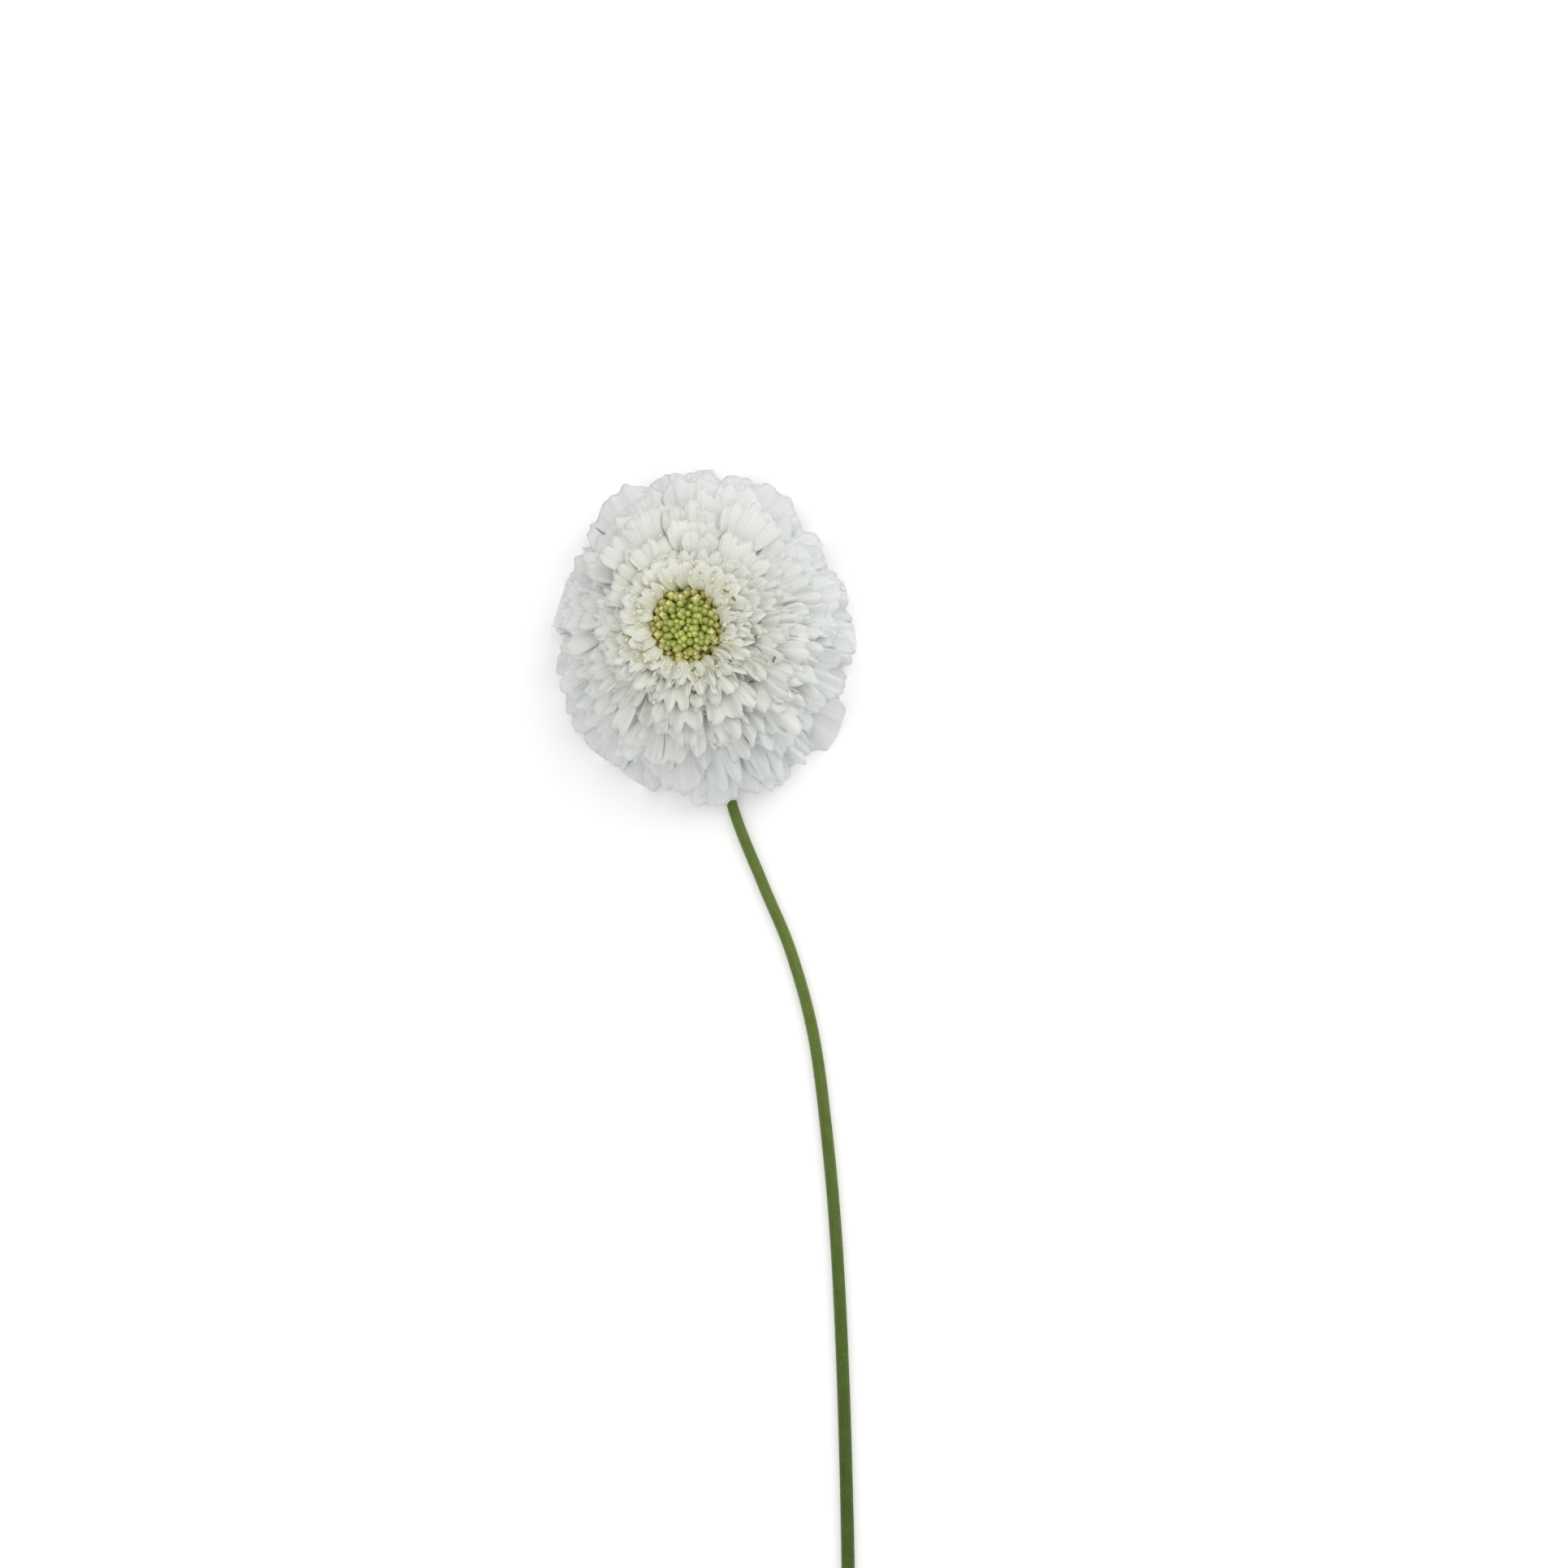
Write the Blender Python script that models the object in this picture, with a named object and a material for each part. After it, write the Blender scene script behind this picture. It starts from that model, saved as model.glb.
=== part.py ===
"""A cut white double scabiosa flower, lying on a flat surface with its bloom face up.

The stem lies along the surface and bends up under the head. Its receptacle carries, from below
upwards, a whorl of green bracts, three rings of ruffled ray florets, three rings of small inner
florets with their styles, and the cushion of unopened green buds in the middle.
Row frame: metres, +Z up, +Y from the cut end towards the bloom, origin at the middle of the
bounding box's underside. Each piece is modelled about the head's own axis, then all are placed.
"""

import math
import random

import bmesh
import bpy
import numpy as np
from mathutils import Vector

MM = 0.001

# The bloom is 60 mm across on average, and longer along Y than across by twice this share.
OVAL = 0.05
BLOOM_RADIUS = 30.0 * MM
BLADE = 0.62 * MM
GAP = 0.3 * MM
SEED = 11
GOLDEN_ANGLE = math.pi * (3 - math.sqrt(5))

STEM_TOP = 12.0 * MM
NECK_BEND = 10.6 * MM
NECK_RADIUS = 1.0 * MM
CUT_RADIUS = 1.45 * MM
STEM_POINTS = 44
# The stem's way over the surface, from under the head to the cut end, from the head's axis, in mm.
STEM_ROUTE = [
    (0.9, -10.6),
    (5.2, -31.0),
    (11.4, -47.0),
    (16.8, -60.0),
    (21.2, -76.0),
    (23.8, -95.0),
    (25.8, -118.0),
    (27.2, -150.0),
    (28.0, -190.0),
    (28.0, -240.0),
    (27.0, -318.0),
]

RECEPTACLE_FOOT = STEM_TOP + GAP
RECEPTACLE_TOP = 25.2 * MM
RAY_CORE_FOOT = 14.9 * MM
RAY_CORE_TOP = 19.4 * MM
CORE_RADIUS = 6.4 * MM
CORE_SIDES = 20
# Half of each floret's length is a tube of this half width, and the rest is its fan.
TUBE_SHARE = 0.5
TUBE_HALF = 1.1 * MM
# The inner florets' tubes stand so close round the cushion that they make a bowl.
BOWL_RADIUS = 8.3 * MM
BOWL_RIM = 27.0 * MM

BRACTS = 9
BRACT_LENGTH = 13.5 * MM
BRACT_HALF_WIDTH = 1.5 * MM

BUDS = 36
CUSHION_RADIUS = 6.6 * MM
CUSHION_FOOT = RECEPTACLE_TOP + GAP
CUSHION_TOP = 28.9 * MM
BUD_RADIUS = 0.98 * MM

# A ring of florets, in mm and degrees: how many, the radius and height of its florets' roots, of the
# point that they first rise towards and of their tips, the fan's half angle, and how far its edge
# waves and cups up.
RAY_RINGS = [
    dict(count=12, root=(5.0, 15.7), rise=(19.0, 17.0), tip=(31.0, 1.6), fan=52, wave=0.9, cup=0.8),
    dict(count=11, root=(5.0, 17.0), rise=(18.0, 21.4), tip=(29.0, 8.8), fan=52, wave=1.0, cup=0.9),
    dict(count=11, root=(5.0, 18.5), rise=(15.4, 25.6), tip=(25.2, 16.4), fan=50, wave=0.9, cup=0.7),
]
INNER_RINGS = [
    dict(count=12, root=(5.0, 20.6), rise=(13.0, 28.2), tip=(21.4, 22.0), fan=50, wave=0.6, cup=0.6),
    dict(count=11, root=(5.0, 21.9), rise=(9.8, 28.8), tip=(17.0, 27.4), fan=50, wave=0.5, cup=0.6),
    dict(count=11, root=(5.9, 23.2), rise=(8.4, 30.2), tip=(12.9, 30.9), fan=50, wave=0.3, cup=0.4),
]
RAY_LOBES = 3
INNER_LOBES = 2
# Each lobe's outline runs from notch to notch in this many steps.
STEPS_PER_LOBE = 3
NOTCH = 0.2
# Each floret leans over the next one of its ring, as shingles do.
LEAN = math.radians(12.0)
# The dip of the lowest rays' edges under the surface, which is trimmed to small flat spots.
SETTLE = 0.5 * MM
# How high the lowest rays are propped up where the stem passes under them.
PROP = 4.0 * MM
# The surface between the rays below and the inner florets above: its height by radius, in mm.
DIVIDE_RADII = (6.5, 10.0, 15.0, 18.0, 21.0, 25.0, 32.0)
DIVIDE_HEIGHTS = (19.55, 22.3, 23.4, 22.7, 20.6, 16.6, 9.5)

WHITE = (0.80, 0.82, 0.80)
CREAM = (0.80, 0.80, 0.68)
LEAF_GREEN = (0.13, 0.21, 0.04)
STEM_GREEN = (0.10, 0.19, 0.03)
BUD_GREEN = (0.34, 0.40, 0.09)


def clear_scene():
    for obj in list(bpy.data.objects):
        bpy.data.objects.remove(obj)


def material(name, colour, roughness):
    made = bpy.data.materials.new(name)
    made.use_nodes = True
    shader = made.node_tree.nodes["Principled BSDF"]
    shader.inputs["Base Color"].default_value = (*colour, 1.0)
    shader.inputs["Roughness"].default_value = roughness
    shader.inputs["Metallic"].default_value = 0.0
    made.diffuse_color = (*colour, 1.0)
    return made


def link(name, data):
    obj = bpy.data.objects.new(name, data)
    bpy.context.scene.collection.objects.link(obj)
    return obj


def mesh_object(name, points, faces):
    mesh = bpy.data.meshes.new(name)
    mesh.from_pydata([tuple(p) for p in points], [], [tuple(f) for f in faces])
    mesh.update()
    return link(name, mesh)


def blade(name, rows):
    """A closed blade about rows of points, in triangles alike on both faces.

    Each row runs from left to right and has its own number of points, so a narrow tube costs little.
    """
    middle = np.vstack(rows)
    triangles = []
    left, right = [], []
    start = 0
    for near, far in zip(rows, rows[1:]):
        triangles += zipped(start, len(near), start + len(near), len(far))
        left.append(start)
        right.append(start + len(near) - 1)
        start += len(near)
    far_row = list(range(start, len(middle)))
    near_row = list(range(len(rows[0])))
    rim = near_row + right[1:] + far_row[::-1] + left[:0:-1]
    a, b, c = (middle[[triangle[k] for triangle in triangles]] for k in range(3))
    normal = np.zeros_like(middle)
    for k in range(3):
        np.add.at(normal, [triangle[k] for triangle in triangles], np.cross(b - a, c - a))
    normal *= BLADE / 2 / np.linalg.norm(normal, axis=1, keepdims=True)
    under = len(middle)
    faces = triangles + [(a + under, c + under, b + under) for a, b, c in triangles]
    for here, after in zip(rim, rim[1:] + rim[:1]):
        faces += [(here, here + under, after + under), (here, after + under, after)]
    return mesh_object(name, np.vstack([middle + normal, middle - normal]), faces)


def zipped(near, near_count, far, far_count):
    """The triangles between two rows of points, which advance along both rows evenly."""
    triangles = []
    i = j = 0
    while i < near_count - 1 or j < far_count - 1:
        if j == far_count - 1 or (i + 1) * (far_count - 1) <= (j + 1) * (near_count - 1):
            triangles.append((near + i, near + i + 1, far + j))
            i += 1
        else:
            triangles.append((near + i, far + j + 1, far + j))
            j += 1
    return triangles


def turned(name, profile):
    """A solid of revolution about the head's axis.

    The profile of (radius, height) runs from the axis to the axis, or it is a loop clear of it.
    """
    mesh = bmesh.new()
    ring = [mesh.verts.new((r, 0.0, z)) for r, z in profile]
    edges = [mesh.edges.new(pair) for pair in zip(ring, ring[1:])]
    if profile[0][0] > 0:
        edges.append(mesh.edges.new((ring[-1], ring[0])))
    bmesh.ops.spin(
        mesh, geom=ring + edges, axis=(0, 0, 1), angle=2 * math.pi, steps=CORE_SIDES, use_merge=True
    )
    bmesh.ops.remove_doubles(mesh, verts=mesh.verts, dist=1e-6)
    bmesh.ops.recalc_face_normals(mesh, faces=mesh.faces)
    bmesh.ops.triangulate(mesh, faces=mesh.faces)
    data = bpy.data.meshes.new(name)
    mesh.to_mesh(data)
    mesh.free()
    return link(name, data)


def apply_modifiers(obj):
    graph = bpy.context.evaluated_depsgraph_get()
    result = bpy.data.meshes.new_from_object(obj.evaluated_get(graph))
    obj.modifiers.clear()
    obj.data = result


def fuse(core, pieces):
    """Joins the pieces to the core by one Boolean union, then removes them."""
    group = bpy.data.collections.new(core.name + "_pieces")
    bpy.context.scene.collection.children.link(group)
    for piece in pieces:
        bpy.context.scene.collection.objects.unlink(piece)
        group.objects.link(piece)
    joined = core.modifiers.new("join", "BOOLEAN")
    joined.operation = "UNION"
    joined.operand_type = "COLLECTION"
    joined.collection = group
    joined.solver = "EXACT"
    apply_modifiers(core)
    for piece in list(group.objects):
        bpy.data.objects.remove(piece)
    bpy.data.collections.remove(group)
    keep_outer_skin(core)


def keep_outer_skin(obj):
    """Fills the hollows that crossing blades seal, and drops loose scraps: the largest skin stays."""
    mesh = bmesh.new()
    mesh.from_mesh(obj.data)
    waiting = set(mesh.faces)
    skins = []
    while waiting:
        front = [waiting.pop()]
        skin = list(front)
        while front:
            for edge in front.pop().edges:
                fresh = [face for face in edge.link_faces if face in waiting]
                waiting.difference_update(fresh)
                skin += fresh
                front += fresh
        skins.append(skin)
    skins.sort(key=len)
    for skin in skins[:-1]:
        bmesh.ops.delete(mesh, geom=skin, context="FACES")
    mesh.to_mesh(obj.data)
    mesh.free()


def trim_below_surface(obj):
    """Cuts off what dips under the surface that the flower lies on: small flat spots are left."""
    half = 60 * MM
    deep = 10 * MM
    square = ((-half, -half), (half, -half), (half, half), (-half, half))
    corners = [(x, y, z) for z in (-deep, 0.0) for x, y in square]
    faces = [(3, 2, 1, 0), (4, 5, 6, 7), (0, 1, 5, 4), (1, 2, 6, 5), (2, 3, 7, 6), (3, 0, 4, 7)]
    cutter = mesh_object("below_surface", corners, faces)
    cut = obj.modifiers.new("trim", "BOOLEAN")
    cut.operation = "DIFFERENCE"
    cut.object = cutter
    cut.solver = "EXACT"
    apply_modifiers(obj)
    bpy.data.objects.remove(cutter)


def bezier(points, t):
    """Place and unit tangent of a quadratic curve in the plane of radius and height."""
    a, b, c = (np.array(p) for p in points)
    t = np.asarray(t)[..., None]
    place = (1 - t) ** 2 * a + 2 * t * (1 - t) * b + t**2 * c
    slope = 2 * (1 - t) * (b - a) + 2 * t * (c - b)
    return place, slope / np.linalg.norm(slope, axis=-1, keepdims=True)


def stretch(azimuth):
    """The bloom is a little longer along Y than across."""
    return 1.0 - OVAL * math.cos(2 * azimuth)


def over_stem(azimuth):
    """One where the stem leaves under the bloom, falling to zero on both sides."""
    leaves = math.atan2(STEM_ROUTE[1][1], STEM_ROUTE[1][0])
    off = math.remainder(azimuth - leaves, 2 * math.pi)
    return math.exp(-((off / 0.42) ** 2))


def divide(radius):
    return np.interp(radius / MM, DIVIDE_RADII, DIVIDE_HEIGHTS) * MM


def lobe_reach(side, lobes):
    """The fan's reach in each direction across it: lobes with notches between, the middle longest."""
    within = np.abs(np.mod((side + 1) * lobes, 2) - 1)
    return (1.0 - 0.12 * np.abs(side)) * (1.0 - NOTCH * within**3)


def floret_rows(ring, azimuth, draws, lobes, shares):
    """Rows of points on the middle surface of one floret: a narrow tube that opens into a lobed fan.

    In the flat pattern the fan's rows lie at shares of its lobes' reach from the throat, and each
    point in a direction across the fan. The pattern is bent along the floret's rise and droop, leans
    to one side, and its edge is waved.
    """
    longer, higher, lean, phase = draws
    scale = np.array((stretch(azimuth) * longer, 1.0))
    root = np.array(ring["root"]) * MM
    rise = np.array(ring["rise"]) * MM * scale
    tip = np.array(ring["tip"]) * MM * scale + (0.0, higher)
    length = (np.linalg.norm(rise - root) + np.linalg.norm(tip - rise) + np.linalg.norm(tip - root)) / 2
    throat = TUBE_SHARE * length
    edges = np.array((-1.0, 1.0))
    mouth = np.array((-1.0, 0.0, 1.0))
    fan = np.linspace(-1.0, 1.0, lobes * STEPS_PER_LOBE + 1)
    direction = np.radians(ring["fan"]) * fan
    reach = (length - throat) * lobe_reach(fan, lobes)
    flat = [
        (edges * TUBE_HALF, 0 * edges, 0 * edges),
        (edges * TUBE_HALF, 0.55 * throat + 0 * edges, 0 * edges),
        (mouth * TUBE_HALF, throat * (1 - 0.15 * mouth**2), 0 * mouth),
    ]
    for share in shares:
        x = TUBE_HALF * fan + reach * share * np.sin(direction)
        y = throat + reach * share * np.cos(direction)
        flat.append((x, y, ring["wave"] * MM * share**1.5 * np.sin(6.4 * direction + phase)))
    rows = []
    for x, y, wave in flat:
        lift = wave + ring["cup"] * MM * (x / (10 * MM)) ** 2 + x * math.tan(lean)
        place, tangent = bezier((root, rise, tip), y / length)
        radius = place[:, 0] - tangent[:, 1] * lift
        height = place[:, 1] + tangent[:, 0] * lift
        rows.append(round_head(radius, x, height, azimuth))
    return rows


def round_head(radius, across, height, azimuth):
    """Points given outward, across and up at an azimuth round the head's axis."""
    c, s = math.cos(azimuth), math.sin(azimuth)
    return np.stack([radius * c - across * s, radius * s + across * c, height], axis=-1)


def ring_draws(ring, level, rng):
    """One azimuth and one set of small variations for each floret of a ring."""
    for k in range(ring["count"]):
        azimuth = 2 * math.pi * (k + 0.5 * (level % 2) + rng.uniform(-0.12, 0.12)) / ring["count"]
        longer = 1.0 + rng.uniform(-0.05, 0.05)
        higher = rng.uniform(-0.4, 0.4) * MM
        lean = LEAN + rng.uniform(-0.03, 0.03)
        phase = rng.uniform(0, 2 * math.pi)
        yield azimuth, (longer, higher, lean, phase)


def receptacle_radius(height):
    return np.interp(height, (RAY_CORE_FOOT, RECEPTACLE_TOP), (4.0 * MM, 2.6 * MM))


def make_ray_florets():
    rng = random.Random(SEED)
    blades = []
    for level, ring in enumerate(RAY_RINGS):
        for azimuth, draws in ring_draws(ring, level, rng):
            rows = floret_rows(ring, azimuth, draws, RAY_LOBES, (0.55, 1.0))
            drop = rows[-1][:, 2].min() - BLADE / 2 + SETTLE - PROP * over_stem(azimuth)
            for row in rows:
                radius = np.hypot(row[:, 0], row[:, 1])
                if level == 0:
                    row[:, 2] -= drop * np.clip(radius / BLOOM_RADIUS, 0, 1) ** 2
                row[:, 2] = np.minimum(row[:, 2], divide(radius) - GAP / 2 - BLADE)
            blades.append(blade(f"ray_{len(blades)}", rows))
    collar = [
        (receptacle_radius(RAY_CORE_FOOT) + GAP, RAY_CORE_FOOT),
        (CORE_RADIUS, RAY_CORE_FOOT),
        (CORE_RADIUS, RAY_CORE_TOP),
        (receptacle_radius(RAY_CORE_TOP) + GAP, RAY_CORE_TOP),
    ]
    florets = turned("ray_florets", collar)
    fuse(florets, blades)
    trim_below_surface(florets)
    return florets


def make_inner_florets():
    rng = random.Random(SEED + 1)
    pieces = []
    for level, ring in enumerate(INNER_RINGS):
        for azimuth, draws in ring_draws(ring, level, rng):
            rows = floret_rows(ring, azimuth, draws, INNER_LOBES, (1.0,))
            for row in rows:
                radius = np.hypot(row[:, 0], row[:, 1])
                row[:, 2] = np.maximum(row[:, 2], divide(radius) + GAP / 2 + BLADE)
            pieces.append(blade(f"inner_{len(pieces)}", rows))
            pieces.append(style_pin(f"style_{len(pieces)}", rows, azimuth))
    foot = RAY_CORE_TOP + GAP
    bowl = [
        (receptacle_radius(foot) + GAP, foot),
        (CORE_RADIUS, foot),
        (BOWL_RADIUS - 1.4 * MM, RECEPTACLE_TOP),
        (BOWL_RADIUS, BOWL_RIM),
        (BOWL_RADIUS - 1.2 * MM, BOWL_RIM),
        (BOWL_RADIUS - 1.3 * MM - BLADE, RECEPTACLE_TOP + 0.6 * MM),
        (receptacle_radius(RECEPTACLE_TOP) + GAP, RECEPTACLE_TOP),
    ]
    florets = turned("inner_florets", bowl)
    fuse(florets, pieces)
    return florets


def style_pin(name, rows, azimuth):
    """A three-sided style that stands in the floret's throat and ends in a small stigma."""
    foot = rows[2][1]
    outward = rows[3][len(rows[3]) // 2] - foot
    way = outward / np.linalg.norm(outward) * 0.55 + np.array((0, 0, 0.85))
    way /= np.linalg.norm(way)
    side = np.array((-math.sin(azimuth), math.cos(azimuth), 0.0))
    other = np.cross(way, side)
    stations = [(-0.5, 0.36), (4.6, 0.33), (5.0, 0.55), (5.7, 0.25)]
    corners = [2 * math.pi * corner / 3 for corner in range(3)]
    points = []
    for along, thick in stations:
        for turn in corners:
            rim = side * math.cos(turn) + other * math.sin(turn)
            points.append(foot + (way * along + rim * thick) * MM)
    faces = [(2, 1, 0), (9, 10, 11)]
    for a in range(0, 3 * (len(stations) - 1), 3):
        for corner in range(3):
            here, after = a + corner, a + (corner + 1) % 3
            faces += [(here, after, after + 3), (here, after + 3, here + 3)]
    return mesh_object(name, points, faces)


def make_bud_cushion():
    """The dome of unopened buds: knobs placed by the golden angle, sunk into a low cushion."""
    profile = [
        (0.0, CUSHION_FOOT),
        (0.7 * CUSHION_RADIUS, CUSHION_FOOT),
        (0.95 * CUSHION_RADIUS, CUSHION_FOOT + 1.4 * MM),
        (0.8 * CUSHION_RADIUS, CUSHION_FOOT + 2.3 * MM),
        (0.45 * CUSHION_RADIUS, CUSHION_TOP - 0.4 * MM),
        (0.0, CUSHION_TOP),
    ]
    cushion = turned("bud_cushion", profile)
    buds = []
    for k in range(BUDS):
        share = math.sqrt((k + 0.5) / BUDS)
        radius = share * (CUSHION_RADIUS - 0.7 * MM)
        height = CUSHION_TOP - 2.0 * MM * share**2.4
        place = (radius * math.cos(k * GOLDEN_ANGLE), radius * math.sin(k * GOLDEN_ANGLE), height)
        buds.append(knob(f"bud_{k}", place, BUD_RADIUS * (1.08 - 0.2 * share)))
    fuse(cushion, buds)
    return cushion


def knob(name, place, radius):
    mesh = bmesh.new()
    bmesh.ops.create_icosphere(mesh, subdivisions=1, radius=radius)
    bmesh.ops.scale(mesh, vec=(1.0, 1.0, 1.25), verts=mesh.verts)
    bmesh.ops.translate(mesh, vec=place, verts=mesh.verts)
    data = bpy.data.meshes.new(name)
    mesh.to_mesh(data)
    mesh.free()
    return link(name, data)


def make_involucre():
    """The receptacle, a green core that the florets stand on, with its whorl of lance-shaped bracts."""
    profile = [
        (0.0, RECEPTACLE_FOOT),
        (1.5 * MM, RECEPTACLE_FOOT),
        (3.6 * MM, RECEPTACLE_FOOT + 1.0 * MM),
        (4.6 * MM, RAY_CORE_FOOT - GAP - 0.5 * MM),
        (receptacle_radius(RAY_CORE_FOOT), RAY_CORE_FOOT - GAP),
        (receptacle_radius(RAY_CORE_FOOT), RAY_CORE_FOOT),
        (receptacle_radius(RECEPTACLE_TOP), RECEPTACLE_TOP),
        (0.0, RECEPTACLE_TOP),
    ]
    receptacle = turned("involucre", profile)
    rng = random.Random(SEED + 2)
    side = np.array((-1.0, 0.0, 1.0))
    bracts = []
    for k in range(BRACTS):
        azimuth = 2 * math.pi * (k + rng.uniform(-0.12, 0.12)) / BRACTS
        length = BRACT_LENGTH * (1.0 + rng.uniform(-0.12, 0.12))
        rows = []
        for along, breadth in ((0.0, 0.55), (0.2, 0.8), (0.45, 1.0), (0.75, 0.6), (1.0, 0.15)):
            across = BRACT_HALF_WIDTH * breadth * side
            radius = 3.1 * MM + length * along * (1.0 - 0.12 * along) + 0 * side
            height = RECEPTACLE_FOOT + 1.1 * MM - 0.34 * length * along**1.6 + 0.2 * np.abs(across)
            rows.append(round_head(radius, across, height, azimuth))
        bracts.append(blade(f"bract_{k}", rows))
    fuse(receptacle, bracts)
    return receptacle


def smooth_route(points, count):
    """Points spaced evenly along a Catmull-Rom curve through the route's own points."""
    p = np.array([2 * np.array(points[0]) - points[1], *points, 2 * np.array(points[-1]) - points[-2]])
    t = np.linspace(0, 1, 24, endpoint=False)[:, None]
    runs = []
    for a, b, c, d in zip(p, p[1:], p[2:], p[3:]):
        bend = (2 * a - 5 * b + 4 * c - d) * t**2 + (3 * b - a - 3 * c + d) * t**3
        runs.append((2 * b + (c - a) * t + bend) / 2)
    fine = np.vstack([*runs, p[-2]])
    gone = np.concatenate([[0], np.cumsum(np.linalg.norm(np.diff(fine, axis=0), axis=1))])
    even = np.linspace(0, gone[-1], count)
    return np.stack([np.interp(even, gone, fine[:, k]) for k in range(2)], axis=1), even / gone[-1]


def make_stem():
    """A tapering stalk: it drops from the head's foot in a quarter bend, then lies on the surface."""
    route, share = smooth_route(np.array(STEM_ROUTE) * MM, STEM_POINTS)
    heading = route[0] / np.linalg.norm(route[0])
    places = []
    for turn in np.radians((0, 18, 36, 54, 72)):
        drop = (STEM_TOP - NECK_RADIUS) * math.sin(turn)
        places.append((*(heading * NECK_BEND * (1 - math.cos(turn))), STEM_TOP - drop))
    thick = np.interp(share, (0, 0.1, 1), (NECK_RADIUS, 1.08 * NECK_RADIUS, CUT_RADIUS))
    places += [(x, y, radius) for (x, y), radius in zip(route, thick)]
    curve = bpy.data.curves.new("stem", "CURVE")
    curve.dimensions = "3D"
    curve.bevel_depth = NECK_RADIUS
    curve.bevel_resolution = 2
    curve.use_fill_caps = True
    spline = curve.splines.new("POLY")
    spline.points.add(len(places) - 1)
    flare = (1.35, 1.08, 1.0, 1.0, 1.0)
    for point, place, widening in zip(spline.points, places, (*flare, *(thick / NECK_RADIUS))):
        point.co = (*place, 1.0)
        point.radius = widening
    return link("stem", curve)


def finish(obj, name, colour, roughness):
    obj.data.materials.clear()
    obj.data.materials.append(material(name, colour, roughness))
    if obj.type == "MESH":
        obj.data.shade_smooth()
        obj.data.set_sharp_from_angle(angle=math.radians(40))


def place_on_origin(objects):
    """Moves all pieces together, so that the middle of their bounding box's underside is the origin."""
    bpy.context.view_layer.update()
    corners = np.array([obj.matrix_world @ Vector(corner) for obj in objects for corner in obj.bound_box])
    middle = (corners.min(axis=0) + corners.max(axis=0)) / 2
    for obj in objects:
        obj.location = (-middle[0], -middle[1], 0.0)


def main():
    clear_scene()
    stem = make_stem()
    involucre = make_involucre()
    ray_florets = make_ray_florets()
    inner_florets = make_inner_florets()
    bud_cushion = make_bud_cushion()
    finish(stem, "stem_green", STEM_GREEN, 0.5)
    finish(involucre, "bract_green", LEAF_GREEN, 0.55)
    finish(ray_florets, "petal_white", WHITE, 0.6)
    finish(inner_florets, "floret_cream", CREAM, 0.6)
    finish(bud_cushion, "bud_green", BUD_GREEN, 0.5)
    place_on_origin([stem, involucre, ray_florets, inner_florets, bud_cushion])


main()
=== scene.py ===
"""A cut white double scabiosa flower on a pale studio floor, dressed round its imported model.

The head's axis and the boxes come from the frame. Every piece is worked out as whole arrays:
florets and bracts are blades on grids of rows and columns, buds, styles, anthers and hairs are
round bodies from pole to pole, and the stalk is a ribbed ring carried along a line.
"""

import math

import bpy
import numpy as np
from mathutils import Matrix, Vector


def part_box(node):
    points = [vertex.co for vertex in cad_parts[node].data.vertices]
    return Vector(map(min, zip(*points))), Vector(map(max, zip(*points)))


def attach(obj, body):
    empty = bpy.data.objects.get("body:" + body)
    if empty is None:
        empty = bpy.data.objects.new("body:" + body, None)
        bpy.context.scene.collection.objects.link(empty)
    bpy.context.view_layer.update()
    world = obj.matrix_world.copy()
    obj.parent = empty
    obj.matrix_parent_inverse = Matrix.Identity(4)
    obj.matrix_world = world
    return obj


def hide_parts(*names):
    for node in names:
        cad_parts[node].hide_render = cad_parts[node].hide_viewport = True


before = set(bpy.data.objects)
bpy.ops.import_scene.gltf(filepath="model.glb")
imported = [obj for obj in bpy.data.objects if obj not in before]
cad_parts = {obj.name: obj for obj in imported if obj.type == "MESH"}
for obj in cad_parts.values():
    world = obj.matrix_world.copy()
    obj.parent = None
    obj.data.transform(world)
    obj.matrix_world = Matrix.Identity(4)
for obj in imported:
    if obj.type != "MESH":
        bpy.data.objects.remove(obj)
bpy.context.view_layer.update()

MM = 0.001
SEED = 20
FULL_TURN = 2 * math.pi
GOLDEN_ANGLE = math.pi * (3 - math.sqrt(5))
UPWARDS = np.array([[0, 0, 1.0]])
# The tone of a piece that has no lighter and darker bodies.
MIDDLE_TONE = 0.5


def head_axis():
    """Where the head's axis stands: the middle of the ring of points at the stem's top."""
    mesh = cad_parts["stem"].data
    points = np.empty(len(mesh.vertices) * 3)
    mesh.vertices.foreach_get("co", points)
    points = points.reshape(-1, 3)
    top = points[points[:, 2] > points[:, 2].max() - 0.1 * MM]
    return (top.min(axis=0) + top.max(axis=0))[:2] / 2


AXIS = head_axis()
CUSHION_FOOT, CUSHION_TOP = (corner[2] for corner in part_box("bud_cushion"))
STEM_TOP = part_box("stem")[1][2]
# The stem's way over the floor, from under the head to the cut end, from the head's axis, in mm.
STEM_ROUTE = np.array([
    (0.9, -10.6),
    (5.2, -31.0),
    (11.4, -47.0),
    (16.8, -60.0),
    (21.2, -76.0),
    (23.8, -95.0),
    (25.8, -118.0),
    (27.2, -150.0),
    (28.0, -190.0),
    (28.0, -240.0),
    (27.0, -318.0),
]) * MM


def material(name, roughness):
    made = bpy.data.materials.new(name)
    made.use_nodes = True
    tree = made.node_tree
    shader = tree.nodes["Principled BSDF"]
    shader.inputs["Roughness"].default_value = roughness
    return made, tree, shader


def set_inputs(node, values):
    for name, value in values.items():
        node.inputs[name].default_value = value


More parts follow.
